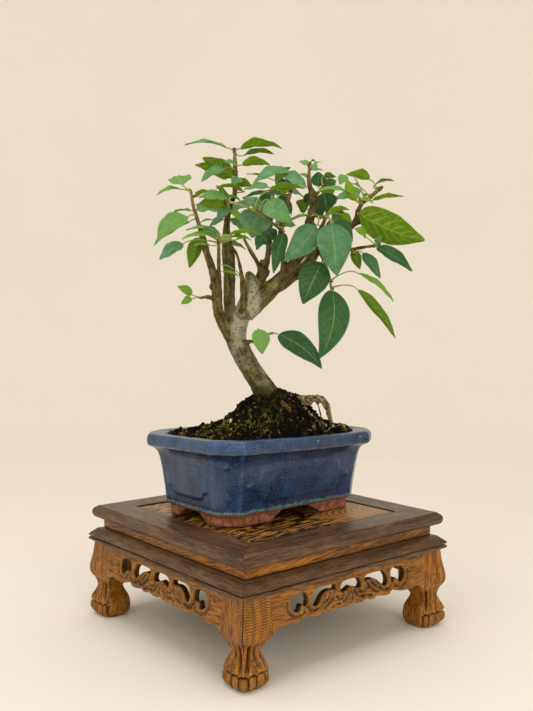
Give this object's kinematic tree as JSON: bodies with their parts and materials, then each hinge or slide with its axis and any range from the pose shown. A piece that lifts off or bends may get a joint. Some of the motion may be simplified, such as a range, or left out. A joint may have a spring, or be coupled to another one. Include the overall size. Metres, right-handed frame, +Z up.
{
  "type": "crabapple bonsai",
  "caption": "Small crabapple bonsai with a curved trunk and toothed leaves in a blue glazed octagonal pot, on a carved wooden stand with paw feet.",
  "frame": {"origin": "on the floor under the middle of the square stand", "axes": "+Z up, X along the pot's long side, -Y the side of the pot and stand that faces front"},
  "size_m": [0.2562, 0.2562, 0.4876],
  "materials": {
    "stand_frame": "dark stained hardwood frame and mouldings, oiled, open grain",
    "stand_waist": "orange-brown hardwood strip with dark streaks, oiled",
    "stand_carved": "hand-carved mid-brown hardwood, satin oil",
    "stand_panel": "figured hardwood panel, light and dark bands, satin",
    "pot_glaze": "deep blue mottled glaze over terracotta clay, bare unglazed feet",
    "drain_screen": "black moulded plastic mesh",
    "soil": "damp granular soil with bark crumbs and patches of moss",
    "bark": "living bark, olive-grey with pale patches and dark pores",
    "leaves": "living leaves, satin above with fine veins, paler below"
  },
  "bodies": {
    "root": {"stand_rail_front": "stand_frame", "stand_waist_front": "stand_waist", "stand_moulding_front": "stand_frame", "stand_apron_front": "stand_carved", "stand_leg_front": "stand_carved", "stand_rail_right": "stand_frame", "stand_waist_right": "stand_waist", "stand_moulding_right": "stand_frame", "stand_apron_right": "stand_carved", "stand_leg_right": "stand_carved", "stand_rail_back": "stand_frame", "stand_waist_back": "stand_waist", "stand_moulding_back": "stand_frame", "stand_apron_back": "stand_carved", "stand_leg_back": "stand_carved", "stand_rail_left": "stand_frame", "stand_waist_left": "stand_waist", "stand_moulding_left": "stand_frame", "stand_apron_left": "stand_carved", "stand_leg_left": "stand_carved", "stand_panel": "stand_panel", "pot": "pot_glaze", "drain_screen_left": "drain_screen", "drain_screen_right": "drain_screen", "soil": "soil", "tree": "bark", "spray_stem": "leaves", "spray_stem_low": "leaves", "spray_left": "leaves", "spray_red_shoot": "leaves", "spray_front_twig": "leaves", "spray_stub": "leaves", "spray_long_shoot": "leaves", "spray_middle": "leaves", "spray_main_tip": "leaves", "spray_knot": "leaves", "spray_main_back": "leaves", "spray_main_front": "leaves", "spray_right_end": "leaves", "spray_elbow": "leaves", "spray_side_tip": "leaves", "spray_side_low": "leaves", "spray_low_shoot": "leaves", "spray_trunk_shoot": "leaves", "spray_middle_side": "leaves", "spray_back_left": "leaves", "spray_back_left_low": "leaves", "spray_back_mid": "leaves", "spray_back_mid_low": "leaves", "spray_back_right": "leaves", "spray_back_right_low": "leaves"}
  },
  "joints": []
}
